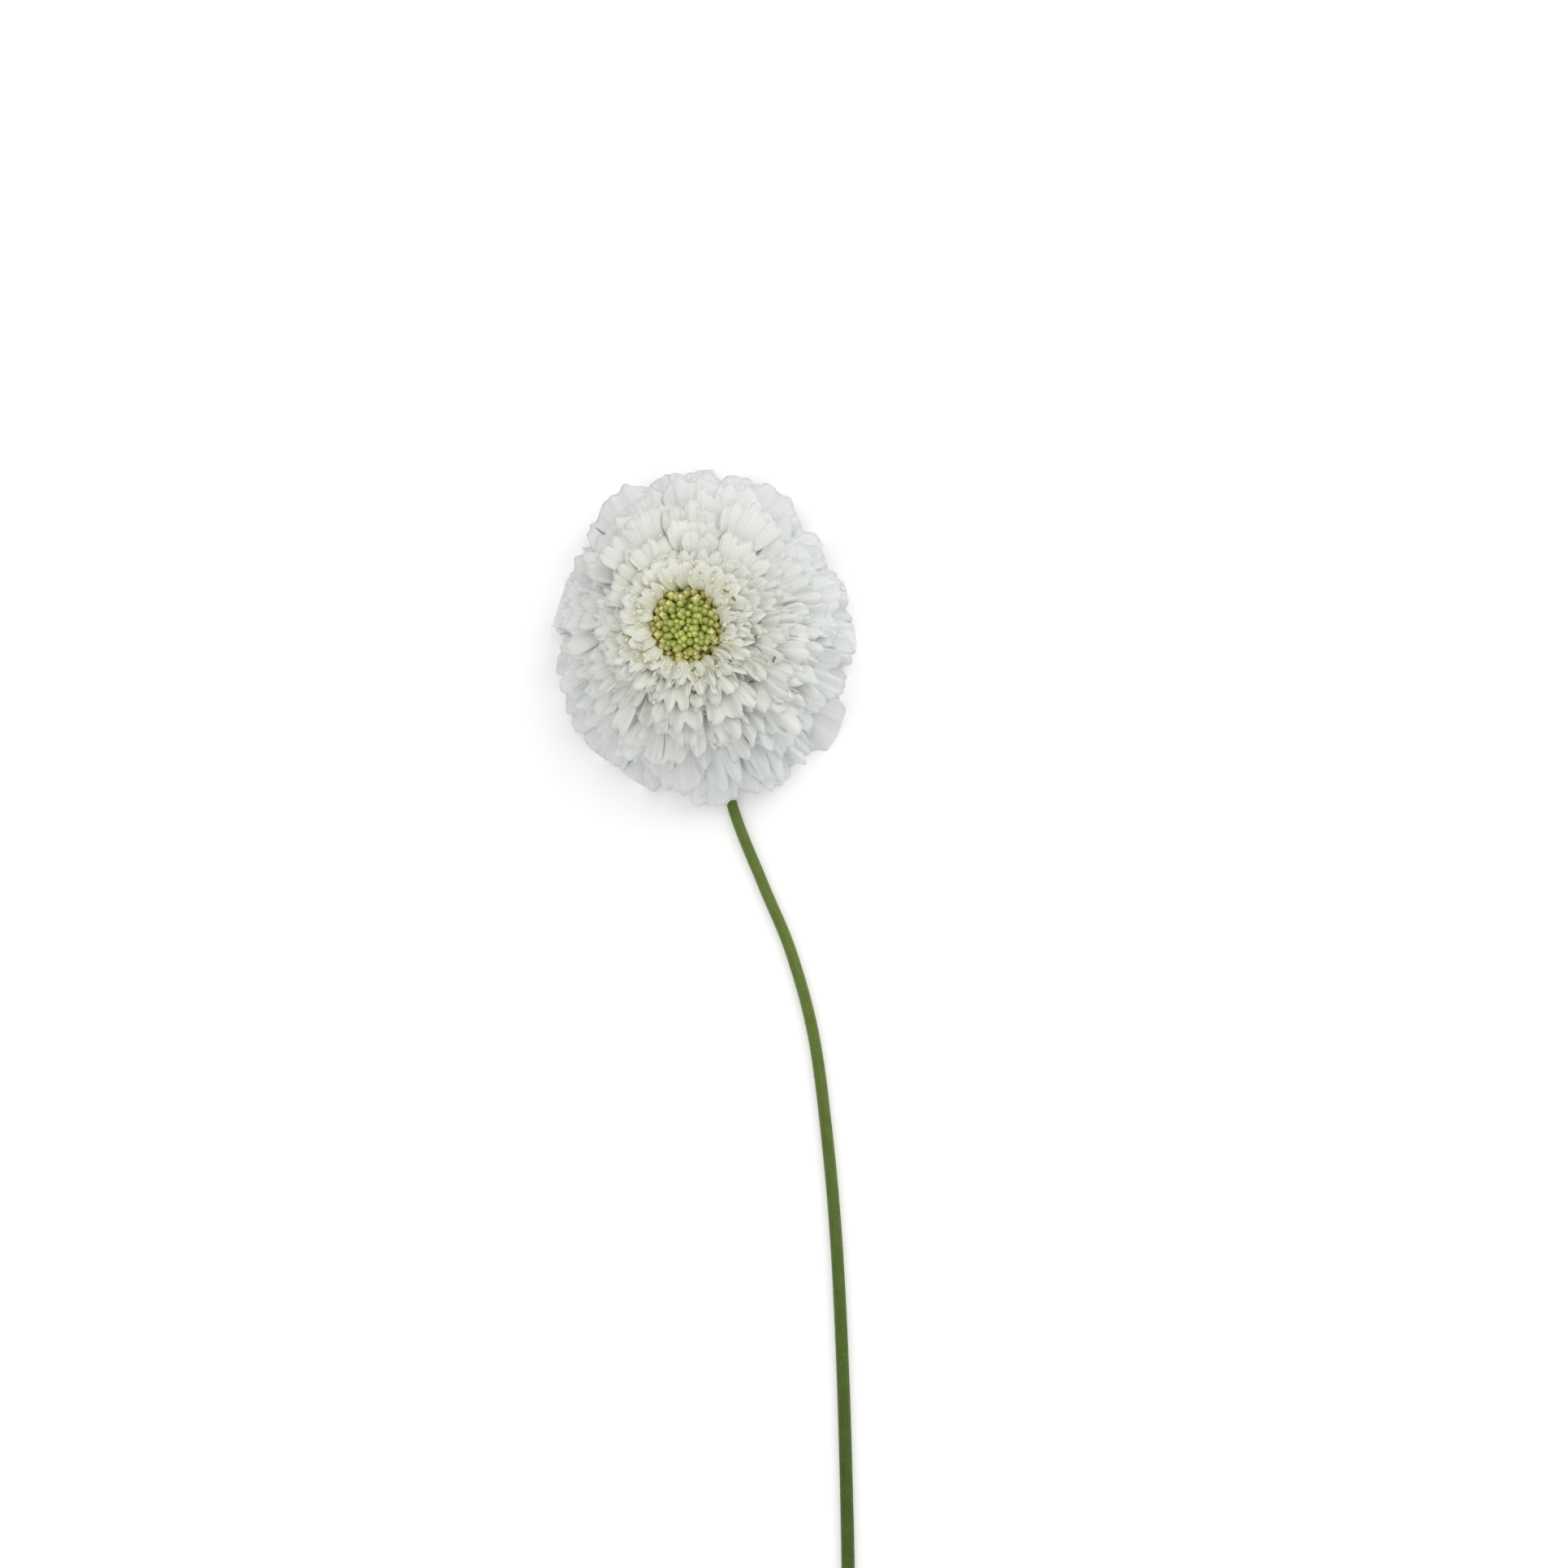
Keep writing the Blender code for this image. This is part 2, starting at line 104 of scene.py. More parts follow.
def add_node(tree, kind, **inputs):
    """A node with its inputs set by name, or by _ and number. One given as a socket is linked."""
    made = tree.nodes.new(kind)
    for name, value in inputs.items():
        socket = made.inputs[int(name[1:])] if name[0] == "_" else made.inputs[name]
        if isinstance(value, bpy.types.NodeSocket):
            tree.links.new(value, socket)
        else:
            socket.default_value = value
    return made


def ramp(tree, factor, stops):
    """Colours by a factor: stops are (position, (red, green, blue))."""
    made = add_node(tree, "ShaderNodeValToRGB", Fac=factor)
    band = made.color_ramp
    for position, colour in stops[1:-1]:
        band.elements.new(position).color = (*colour, 1.0)
    ends = ((band.elements[0], stops[0]), (band.elements[-1], stops[-1]))
    for element, (position, colour) in ends:
        element.position = position
        element.color = (*colour, 1.0)
    return made.outputs["Color"]


def math_node(tree, operation, a, b):
    made = add_node(tree, "ShaderNodeMath", _0=a, _1=b)
    made.operation = operation
    return made.outputs["Value"]


def tint(tree, colour, amount):
    """The colour multiplied by a grey that is the amount."""
    made = tree.nodes.new("ShaderNodeVectorMath")
    made.operation = "SCALE"
    tree.links.new(colour, made.inputs[0])
    tree.links.new(amount, made.inputs["Scale"])
    return made.outputs["Vector"]


def spread(tree, value, low, high):
    """A value from 0 to 1 brought to run from low to high."""
    made = add_node(tree, "ShaderNodeMapRange", Value=value)
    set_inputs(made, {"To Min": low, "To Max": high})
    return made.outputs["Result"]


def noise(tree, place, scale, detail):
    made = add_node(tree, "ShaderNodeTexNoise", Vector=place, Scale=scale, Detail=detail)
    return made.outputs["Fac"]


def point_value(tree, name):
    """The piece's own number at each point, by its name."""
    made = tree.nodes.new("ShaderNodeAttribute")
    made.attribute_name = name
    return made.outputs["Fac"]


def blend(tree, share, first, second):
    """From the first colour to the second by the share. Sockets 6 and 7, and 2, carry colours."""
    made = tree.nodes.new("ShaderNodeMix")
    made.data_type = "RGBA"
    tree.links.new(share, made.inputs["Factor"])
    tree.links.new(first, made.inputs[6])
    tree.links.new(second, made.inputs[7])
    return made.outputs[2]


def add_relief(tree, shader, height, strength, distance):
    bump = add_node(tree, "ShaderNodeBump", Height=height, Strength=strength, Distance=distance)
    tree.links.new(bump.outputs["Normal"], shader.inputs["Normal"])


PETAL_VEINS = 13


def petal_material():
    """Thin petal: cool or cream by its warmth, greener to the root, veined and mottled."""
    made, tree, shader = material("petal_skin", 0.5)
    uv = add_node(tree, "ShaderNodeUVMap").outputs["UV"]
    parts = add_node(tree, "ShaderNodeSeparateXYZ", Vector=uv)
    across, along = parts.outputs["X"], parts.outputs["Y"]
    mottle = noise(tree, add_node(tree, "ShaderNodeTexCoord").outputs["Object"], 260.0, 4.0)
    wandered = math_node(tree, "ADD", across, spread(tree, mottle, -0.02, 0.02))
    vein = math_node(
        tree, "SINE", math_node(tree, "MULTIPLY", wandered, PETAL_VEINS * FULL_TURN), 0.0
    )
    cool = ramp(tree, along, [
        (0.0, (0.54, 0.58, 0.32)),
        (0.3, (0.74, 0.76, 0.67)),
        (0.6, (0.77, 0.795, 0.78)),
        (1.0, (0.775, 0.80, 0.795)),
    ])
    warm = ramp(tree, along, [
        (0.0, (0.50, 0.52, 0.17)),
        (0.3, (0.75, 0.745, 0.42)),
        (0.62, (0.83, 0.825, 0.70)),
        (1.0, (0.84, 0.84, 0.765)),
    ])
    colour = blend(tree, point_value(tree, "warmth"), cool, warm)
    colour = tint(tree, colour, spread(tree, point_value(tree, "tone"), 0.94, 1.03))
    colour = tint(tree, colour, spread(tree, mottle, 0.96, 1.03))
    colour = tint(tree, colour, spread(tree, vein, 0.965, 1.0))
    tree.links.new(colour, shader.inputs["Base Color"])
    relief = math_node(tree, "ADD", math_node(tree, "MULTIPLY", vein, 0.35), mottle)
    add_relief(tree, shader, relief, 0.5, 0.18 * MM)
    set_inputs(shader, {
        "Subsurface Weight": 0.1,
        "Subsurface Radius": (1.0, 1.0, 0.9),
        "Subsurface Scale": 1.6 * MM,
        "Sheen Weight": 0.12,
        "Specular IOR Level": 0.3,
    })
    return made


def green_material(name, stops, streak_scale, relief_depth, roughness=0.55):
    """Plant green: colour by the piece's own length, streaked along it, with a slight relief."""
    made, tree, shader = material(name, roughness)
    uv = add_node(tree, "ShaderNodeUVMap").outputs["UV"]
    parts = add_node(tree, "ShaderNodeSeparateXYZ", Vector=uv)
    mottle = noise(tree, add_node(tree, "ShaderNodeTexCoord").outputs["Object"], 420.0, 5.0)
    stretched = add_node(tree, "ShaderNodeMapping", Vector=uv, Scale=streak_scale)
    streak = noise(tree, stretched.outputs["Vector"], 1.0, 3.0)
    colour = ramp(tree, parts.outputs["Y"], stops)
    colour = tint(tree, colour, spread(tree, streak, 0.7, 1.3))
    colour = tint(tree, colour, spread(tree, mottle, 0.8, 1.2))
    colour = tint(tree, colour, spread(tree, point_value(tree, "tone"), 0.75, 1.25))
    tree.links.new(colour, shader.inputs["Base Color"])
    add_relief(tree, shader, math_node(tree, "ADD", streak, mottle), 0.6, relief_depth)
    set_inputs(shader, {
        "Specular IOR Level": 0.28,
        "Subsurface Weight": 0.15,
        "Subsurface Scale": 0.8 * MM,
        "Subsurface Radius": (0.6, 1.0, 0.3),
    })
    return made


def unit(vectors):
    return vectors / np.linalg.norm(vectors, axis=-1, keepdims=True)


def run_length(points):
    """How far along its line each point lies."""
    steps = np.linalg.norm(np.diff(points, axis=0), axis=1)
    return np.concatenate([[0], np.cumsum(steps)])


def new_piece(name, points, faces, uv, numbers, finish, node=None):
    """A smooth mesh with its UV map and its named numbers at each point, riding on the flower."""
    mesh = bpy.data.meshes.new(name)
    mesh.from_pydata(points.tolist(), [], faces)
    corners = np.empty(len(mesh.loops), dtype=np.int64)
    mesh.loops.foreach_get("vertex_index", corners)
    mesh.uv_layers.new(name="UVMap").data.foreach_set("uv", uv[corners].ravel())
    for label, values in numbers.items():
        mesh.attributes.new(label, "FLOAT", "POINT").data.foreach_set("value", values)
    mesh.shade_smooth()
    mesh.materials.append(finish)
    piece = bpy.data.objects.new(name, mesh)
    bpy.context.scene.collection.objects.link(piece)
    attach(piece, "root")
    if node:
        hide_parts(node)


def blades(name, sheets, thickness, uv, numbers, finish, node):
    """Closed blades about sheets[blade, row, column] of points, with named numbers by blade.

    Each point of a sheet is moved half the thickness both ways along the sheet's normal, which is
    the cross product of its differences across and along, and the two skins are joined at the rim.
    """
    count, rows, columns = sheets.shape[:3]
    normal = np.cross(np.gradient(sheets, axis=2), np.gradient(sheets, axis=1))
    normal *= thickness[..., None] / 2 / np.linalg.norm(normal, axis=-1, keepdims=True)
    points = np.stack([sheets + normal, sheets - normal], axis=1)
    at = np.arange(rows * columns).reshape(rows, columns)
    under = rows * columns
    upper = np.stack([at[:-1, :-1], at[:-1, 1:], at[1:, 1:], at[1:, :-1]], axis=-1).reshape(-1, 4)
    rim = np.concatenate([at[0], at[1:, -1], at[-1, -2::-1], at[-2:0:-1, 0]])
    after = np.roll(rim, -1)
    sides = np.stack([rim, rim + under, after + under, after], axis=-1)
    quads = np.vstack([upper, upper[:, ::-1] + under, sides])
    faces = (quads + 2 * under * np.arange(count)[:, None, None]).reshape(-1, 4)
    both_uv = np.repeat(uv[:, None], 2, axis=1).reshape(-1, 2)
    numbers = {label: np.repeat(values, 2 * under) for label, values in numbers.items()}
    new_piece(name, points.reshape(-1, 3), faces.tolist(), both_uv, numbers, finish, node)


def ring_directions(way, side, turn):
    """Directions round each way: side * cos(turn) + other * sin(turn), where other = way x side."""
    side = unit(side)
    other = np.cross(way, side)
    return side[:, None] * np.cos(turn)[:, None] + other[:, None] * np.sin(turn)[:, None]


def tube_faces(rings, sides, count=1):
    """Faces of closed tubes, whose points are those of their rings and then both poles."""
    at = np.arange(rings * sides).reshape(rings, sides)
    after = np.roll(at, -1, axis=1)
    start, end = rings * sides, rings * sides + 1
    quads = np.stack([at[:-1], after[:-1], after[1:], at[1:]], axis=-1).reshape(-1, 4)
    first = np.stack([after[0], at[0], np.full(sides, start)], axis=-1)
    last = np.stack([at[-1], after[-1], np.full(sides, end)], axis=-1)
    shift = (end + 1) * np.arange(count)[:, None, None]
    walls = (quads + shift).reshape(-1, 4).tolist()
    caps = np.concatenate([first + shift, last + shift]).reshape(-1, 3).tolist()
    return walls + caps


def tube_uv(turn, share):
    """A tube's UV: round it and along it by ring, and then at both poles."""
    grid = np.stack(np.meshgrid(turn / FULL_TURN, share), axis=-1).reshape(-1, 2)
    return np.vstack([grid, (0.5, 0.0), (0.5, 1.0)])


def round_bodies(
    name, foot, way, along, radius, sides, finish, lobes=(0, 0.0), tone=None, node=None
):
    """Closed round bodies with lobed sections, from pole to pole.

    Point = foot + way * along(t) + radius(t) * (1 + depth * cos(lobes * turn)) * (side * cos(turn)
    + other * sin(turn)), where side and other are at right angles to the way, and t runs along it.
    """
    count = len(foot)
    way = unit(way)
    upright = np.abs(way[:, 2:]) > 0.9
    side = np.cross(np.where(upright, np.array([[1.0, 0, 0]]), UPWARDS), way)
    along = np.broadcast_to(along, (count, np.shape(along)[-1]))
    radius = np.broadcast_to(radius, along.shape)
    turn = np.linspace(0, FULL_TURN, sides, endpoint=False)
    ring = ring_directions(way, side, turn)
    lobe_count, lobe_depth = lobes
    swell = 1 + lobe_depth * np.cos(lobe_count * turn)
    middle = foot[:, None] + way[:, None] * along[..., None]
    inner = middle[:, 1:-1, None] + radius[:, 1:-1, None, None] * swell[:, None] * ring[:, None]
    rings = inner.shape[1]
    body = inner.reshape(count, rings * sides, 3)
    points = np.concatenate([body, middle[:, :1], middle[:, -1:]], axis=1)
    uv = np.tile(tube_uv(turn, np.linspace(0, 1, rings)), (count, 1))
    tone = np.full(count, MIDDLE_TONE) if tone is None else tone
    numbers = {"tone": np.repeat(tone, points.shape[1])}
    faces = tube_faces(rings, sides, count)
    new_piece(name, points.reshape(-1, 3), faces, uv, numbers, finish, node)


# The rings of florets from the skirt to the eye, as the solids have them, in mm: the radius and
# height of the florets' roots, of the point that they first rise towards, and of their tips.
RINGS = np.array([
    (5.0, 15.7, 19.0, 17.0, 30.8, 1.6),
    (5.0, 17.0, 18.0, 21.4, 28.8, 8.8),
    (5.0, 18.5, 15.4, 25.6, 25.2, 16.4),
    (5.0, 20.6, 13.0, 28.2, 21.6, 22.0),
    (5.4, 21.9, 9.8, 29.2, 17.4, 26.6),
    (6.1, 23.0, 7.1, 30.7, 13.5, 29.2),
    (6.0, 24.2, 6.2, 30.9, 10.6, 30.2),
]) * MM
# What changes from the skirt (0) to the eye (1): how many florets a ring has, the fan's half angle,
# the tube's share of the length and half its width, the height of the waves, the share of its
# length that a tip varies by, how deep its notches are, how far it falls back at its sides, and
# how cream the florets are.
ACROSS_HEAD = (0.0, 0.25, 0.5, 0.75, 1.0)
COUNT = (18, 18, 18, 20, 19)
FAN_ANGLE = np.radians((40, 39, 38, 36, 33))
TUBE_SHARE = (0.48, 0.48, 0.46, 0.4, 0.3)
TUBE_HALF = np.array((1.2, 1.2, 1.1, 0.9, 0.75)) * MM
WAVE = np.array((1.2, 1.3, 1.2, 0.8, 0.55)) * MM
UNEVEN = (0.02, 0.07, 0.09, 0.09, 0.05)
NOTCH = (0.1, 0.12, 0.15, 0.22, 0.28)
SIDE_FALL = (0.34, 0.26, 0.12, 0.1, 0.1)
WARMTH = (0.0, 0.1, 0.35, 0.75, 1.0)
# The rings as the florets have them: those of the skirt, these and the other rays, and all.
SKIRT_RINGS = 2
RAY_RINGS = 5
ALL_RINGS = 12
LOBES = 3
# How high a floret rises and where its tip is vary by this many mm times its ring's unevenness.
RISE_SPREAD = 8
TIP_SPREAD = 18
# The florets are smoother towards this azimuth, and more ruffled on the other side.
SMOOTH_SIDE = math.radians(130)
RUFFLE_SPREAD = 0.4
# The crimps of a rim: their share of the floret's reach, and their least and most radians from its
# middle to its side.
CRIMPS = ((0.02, 12, 16), (0.014, 28, 33))
# The waves over a fan, from broad flutes to fine frills: their height as a share of the ring's, the
# power of the way to the rim that they grow with, their least and most radians from the floret's
# middle to its side, and their slant.
WAVES = ((0.8, 1.5, 4.2, 6.0, 0), (0.4, 1.5, 9, 12, 0), (0.36, 2, 14, 19, 2), (0.16, 4, 27, 33, 0))
# How deep the tube's gutter is, as a share of its half width.
GUTTER = 1.1
RIM_DROOP, RIM_RISE = -0.9 * MM, 0.7 * MM
# Each floret leans over the next one of its ring, as shingles do.
LEAN = math.radians(9)
# The bloom's outline from above: its radius every 30 degrees from -180, as a share of 30 mm. No
# floret reaches much past REACH times that share: a tenth of what goes past it is left.
BLOOM_RADIUS = 30 * MM
OUTLINE = np.array((
    28.6, 29.6, 28.8, 31.2, 31.5, 30.6, 28.4, 28.7, 32.4, 33.6, 33.2, 29.6, 28.6
)) / 30
REACH = 30.9 * MM
PULL_BACK = 0.9
ROOT_RADIUS = 5 * MM
PETAL_THICKNESS = 0.28 * MM
RIM_THICKNESS = 0.08 * MM
# The lowest florets' rims sink this far below the surface, and what lies lower than the gap over
# it is then brought up to that.
SETTLE = 0.3 * MM
FLOOR_GAP = 0.12 * MM
# The stem props up the florets over it: its azimuth where it comes out from under them, by how
# much, and how widely, in radians.
STEM_AZIMUTH = math.atan2(STEM_ROUTE[1, 1], STEM_ROUTE[1, 0])
PROP = 4.0 * MM
PROP_SPREAD = 0.42


def by_ring(values, level):
    """The value at a level between the skirt (0) and the eye (1)."""
    return np.interp(level, ACROSS_HEAD, values)


def rounded(radius, across, height, azimuth):
    """Points given outward, across and up at azimuths round the head's axis."""
    c, s = np.cos(azimuth), np.sin(azimuth)
    x = AXIS[0] + radius * c - across * s
    y = AXIS[1] + radius * s + across * c
    return np.stack([x, y, height], axis=-1)


def outline_share(azimuth):
    """How far the bloom reaches at an azimuth, as a share of its mean radius."""
    turned = np.remainder(azimuth + math.pi, FULL_TURN)
    return np.interp(turned, np.linspace(0, FULL_TURN, len(OUTLINE)), OUTLINE)


def ring_lines(level, index, rng):
    """The root, rise and tip of each of a ring's florets, as in RINGS, and its azimuth.

    The florets stand evenly round the axis, each ring turned on from the one before by as many
    spacings as the golden angle has radians, and all vary a little in place, length and height.
    """
    count = round(by_ring(COUNT, level))
    place = level * (len(RINGS) - 1)
    line = np.stack([np.interp(place, np.arange(len(RINGS)), column) for column in RINGS.T])
    line = np.repeat(line[None], count, axis=0)
    turned = GOLDEN_ANGLE * index + rng.uniform(-0.2, 0.2, count)
    azimuth = FULL_TURN * (np.arange(count) + turned) / count
    uneven = by_ring(UNEVEN, level)
    longer = outline_share(azimuth) * (1 + rng.uniform(-1.4 * uneven, uneven, count))
    line[:, 2] *= longer
    line[:, 4] *= longer
    line[:, 5] += rng.uniform(-TIP_SPREAD, TIP_SPREAD, count) * MM * uneven
    line[:, 3] += rng.uniform(-RISE_SPREAD, RISE_SPREAD, count) * MM * uneven
    return line, azimuth


def line_lengths(line):
    """A quadratic curve's length, near enough: half the sum of its three chords."""
    root, rise, tip = line[:, 0:2], line[:, 2:4], line[:, 4:6]
    chords = [np.linalg.norm(a - b, axis=1) for a, b in ((root, rise), (rise, tip), (root, tip))]
    return sum(chords) / 2


def bend(line, t):
    """Place and tangent, as (outward, up), at t on each floret's quadratic curve."""
    root, rise, tip = (line[:, None, None, k : k + 2] for k in (0, 2, 4))
    t = t[..., None]
    place = (1 - t) ** 2 * root + 2 * t * (1 - t) * rise + t**2 * tip
    return place, unit((1 - t) * (rise - root) + t * (tip - rise))


def flat_florets(level, length, ruffle, v, fan_rows, tube_rows, draw):
    """The flat pattern of a ring's florets: x across, y along, and s from the throat to the rim.

    With v across from -1 to 1 and s from 0 to 1, x = w v + r(v) s sin(a(s) v), and
    y = throat + r(v) s cos(a(s) v). The lobed reach r(v) falls to its notches as a sine to the
    power of 0.6, and back at the sides. The half angle a(s) falls with the square of s. Up to the
    throat the tube's half width is w, a fifth narrower at its root.
    """
    throat = by_ring(TUBE_SHARE, level) * length
    half = by_ring(TUBE_HALF, level)
    tube = np.linspace(0, 1, tube_rows, endpoint=False)[None, :, None]
    s = np.linspace(0, 1, fan_rows)[None, :, None]
    angle = by_ring(FAN_ANGLE, level) * draw(0.85, 1.15) * (1.1 - 0.2 * s**2)
    lobe = np.sin(math.pi * (v + 1) * LOBES / 2)
    notch = by_ring(NOTCH, level) * draw(0.6, 1.4) * ruffle * (1 - np.abs(lobe) ** 0.6)
    crimp = 0
    for depth, least, most in CRIMPS:
        crimp = crimp + depth * np.sin(draw(least, most) * v + draw(0, 6))
    fall = by_ring(SIDE_FALL, level) * draw(0.5, 1.5) * v**2 + draw(-0.06, 0.06) * v
    reach = (length - throat) * (1 - fall) * (1 - notch + crimp)
    x = np.concatenate([
        half * v * (0.8 + 0.2 * tube) + 0 * length,
        half * v + reach * s * np.sin(angle * v),
    ], axis=1)
    y = np.concatenate([throat * tube + 0 * v, throat + reach * s * np.cos(angle * v)], axis=1)
    return x, y, np.concatenate([0 * tube, s], axis=1)


def floret_lift(level, x, v, s, ruffle, draw):
    """How far the florets' points stand off their lines.

    That is the sum of waves that grow to the rim, of a gutter along the tube, which falls with the
    square of v and the cube of s, of a rise or droop of the rim, and of the lean.
    """
    wave = by_ring(WAVE, level) * draw(0.7, 1.3) * ruffle
    lift = -GUTTER * by_ring(TUBE_HALF, level) * (1 - v**2) * (1 - s) ** 3
    for height, power, least, most, slant in WAVES:
        turn = draw(least, most) * v + slant * s + draw(0, 6.3)
        lift = lift + height * wave * s**power * np.sin(turn)
    lift = lift + draw(RIM_DROOP, RIM_RISE) * s**3
    return lift + x * np.tan(LEAN + draw(-0.12, 0.12))


def floret_sheets(level, index, rng, fan_rows, tube_rows, columns):
    """One ring of florets: each a gutter-shaped tube that opens into a fan of waved, round lobes.

    The flat pattern is lifted off its line, bent over the line's curve, and pulled back to the
    bloom's outline.
    """
    line, azimuth = ring_lines(level, index, rng)

    def draw(low, high):
        """One number for each floret of the ring."""
        return rng.uniform(low, high, (len(azimuth), 1, 1))

    length = line_lengths(line)[:, None, None]
    ruffle = 1 - RUFFLE_SPREAD * np.cos(azimuth - SMOOTH_SIDE)[:, None, None]
    v = np.linspace(-1, 1, columns)[None, None, :]
    x, y, s = flat_florets(level, length, ruffle, v, fan_rows, tube_rows, draw)
    lift = floret_lift(level, x, v, s, ruffle, draw)
    place, tangent = bend(line, y / length)
    radius = place[..., 0] - tangent[..., 1] * lift
    height = place[..., 1] + tangent[..., 0] * lift
    facing = azimuth[:, None, None]
    limit = REACH * outline_share(facing + x / np.maximum(radius, ROOT_RADIUS))
    radius -= PULL_BACK * np.maximum(0, np.hypot(radius, x) - limit)
    sheets = rounded(radius, x, height, facing)
    if index < SKIRT_RINGS:
        settle(sheets, radius, azimuth)
    sheets[..., 2] = np.maximum(sheets[..., 2], FLOOR_GAP)
    uv = np.stack(np.broadcast_arrays((v + 1) / 2 + 0 * y, y / length), axis=-1)
    return sheets, uv, s


def settle(sheets, radius, azimuth):
    """The lowest florets sink until their rims touch the surface, and are propped up over the stem.

    A point goes down by its floret's drop times the square of its share of the bloom's radius.
    """
    off = np.remainder(azimuth - STEM_AZIMUTH + math.pi, FULL_TURN) - math.pi
    lowest = sheets[:, -1, :, 2].min(axis=1)
    drop = lowest + SETTLE - PROP * np.exp(-((off / PROP_SPREAD) ** 2))
    share = np.clip(radius / BLOOM_RADIUS, 0, 1) ** 2
    sheets[..., 2] -= drop[:, None, None] * share


def make_florets(rng):
    """All rings from the skirt to the eye: the outer ones are rays, the rest small inner florets.

    Gives the foot of a pin in each inner floret's throat, and the way from there to its rim.
    """
    rays = dict(tube_rows=4, fan_rows=13, columns=53)
    small = dict(tube_rows=3, fan_rows=8, columns=33)
    petal = petal_material()
    runs = (
        ("skirt_rays", range(SKIRT_RINGS), rays, "petal_white", "ray_florets"),
        ("upper_rays", range(SKIRT_RINGS, RAY_RINGS), rays, "petal_white", "ray_florets"),
        ("small_florets", range(RAY_RINGS, ALL_RINGS), small, "floret_cream", "inner_florets"),
    )
    for name, indexes, size, slot, node in runs:
        levels = [index / (ALL_RINGS - 1) for index in indexes]
        rings = [floret_sheets(level, index, rng, **size) for level, index in zip(levels, indexes)]
        sheets, uv = (np.concatenate([ring[k] for ring in rings]) for k in (0, 1))
        s = rings[0][2]
        counts = [len(ring[0]) for ring in rings]
        numbers = {
            "tone": rng.uniform(0, 1, len(sheets)),
            "warmth": np.repeat(by_ring(WARMTH, levels), counts),
        }
        thickness = np.broadcast_to(
            PETAL_THICKNESS + (RIM_THICKNESS - PETAL_THICKNESS) * s, sheets.shape[:3]
        )
        blades(name, sheets, thickness, uv, numbers, petal, node)
    # The last run's florets are the ones that carry pins.
    middle = small["columns"] // 2
    throat = sheets[:, small["tube_rows"] + 1, middle]
    return throat, sheets[:, -1, middle] - throat


# Pins, in mm: the least and greatest length, and the radius at these shares of the length.
PIN_ALONG = np.array((-0.2, -0.15, 0.5, 0.84, 0.87, 0.95, 1.03, 1.06))
STYLE = ((3.4, 5.2), (0, 0.11, 0.1, 0.09, 0.2, 0.28, 0.18, 0))
FILAMENT = ((2.6, 4.6), (0, 0.08, 0.07, 0.07, 0.06, 0.06, 0.05, 0))
LOWER_FILAMENT = ((3.2, 4.6), (0, 0.09, 0.08, 0.08, 0.07, 0.07, 0.06, 0))
ANTHER_ALONG = np.array((-0.62, -0.5, -0.2, 0.2, 0.5, 0.62)) * MM
ANTHER_RADIUS = np.array((0, 0.17, 0.24, 0.24, 0.17, 0)) * MM
# The dark anthers lie round this point from the head's axis, one in every few of the nearest
# florets. Their dark colour is partly the anthers' own and partly painted shade: dark specks put
# where shade falls between the florets.
DARK_PLACE = np.array((8, -5)) * MM
DARK_NEAREST = 48
DARK_STEP = 4


def make_pins(foot, out, rng):
    """Styles with round knobs, and filaments that carry anthers crosswise, out of the throats."""
    cream = green_material("pin_skin", [
        (0.0, (0.62, 0.64, 0.38)),
        (0.6, (0.74, 0.75, 0.52)),
        (1.0, (0.82, 0.82, 0.60)),
    ], (2.0, 3.0, 1.0), 0.04 * MM, 0.4)
    # The dark anthers' colour is partly their own and partly painted shade between the florets.
    dark = green_material("dark_anther_painted_shade_skin", [
        (0.0, (0.14, 0.15, 0.07)),
        (0.5, (0.24, 0.25, 0.13)),
        (1.0, (0.16, 0.17, 0.09)),
    ], (2.0, 3.0, 1.0), 0.04 * MM, 0.6)
    order = rng.permutation(len(foot))
    styles, filaments = order[: len(foot) // 2], order[len(foot) // 2 :]
    nearest = np.argsort(np.linalg.norm(foot[:, :2] - AXIS - DARK_PLACE, axis=1))
    darker = nearest[:DARK_NEAREST:DARK_STEP]
    kinds = (
        ("styles", styles, STYLE, None, None),
        ("filaments", filaments, FILAMENT, "anthers", cream),
        ("lower_filaments", darker, LOWER_FILAMENT, "dark_anthers_painted_shade", dark),
    )
    for name, chosen, ((short, tall), radius), anthers, anther_finish in kinds:
        way = 0.45 * unit(out[chosen]) + (0, 0, 0.9)
        way = way + rng.uniform(-0.3, 0.3, way.shape)
        length = rng.uniform(short, tall, (len(chosen), 1)) * MM
        tone = rng.uniform(0.3, 0.8, len(chosen))
        round_bodies(
            name, foot[chosen], way, PIN_ALONG * length, np.array(radius) * MM, 6,
            cream, tone=tone,
        )
        if anthers:
            top = foot[chosen] + unit(way) * length
            aside = rng.uniform(-1, 1, way.shape) * (1, 1, 0.3)
            round_bodies(
                anthers, top, aside, ANTHER_ALONG, ANTHER_RADIUS, 7,
                anther_finish, tone=tone,
            )


BUDS = 140
CLOSED_BUDS = 64
BUDS_REACH = 6.75 * MM
# A bud from its foot to its dimpled tip, in mm, and its radius there.
BUD_ALONG = np.array((-0.2, 0.1, 0.7, 1.2, 1.6, 1.9, 2.02, 1.93)) * MM
BUD_RADIUS = np.array((0, 0.5, 0.74, 0.8, 0.72, 0.46, 0.22, 0)) * MM
DOME_ALONG = np.array((0, 0.0, 0.8, 1.8, 2.7, 3.1)) * MM
DOME_RADIUS = np.array((0, 5.6, 7.4, 6.5, 3.6, 0)) * MM


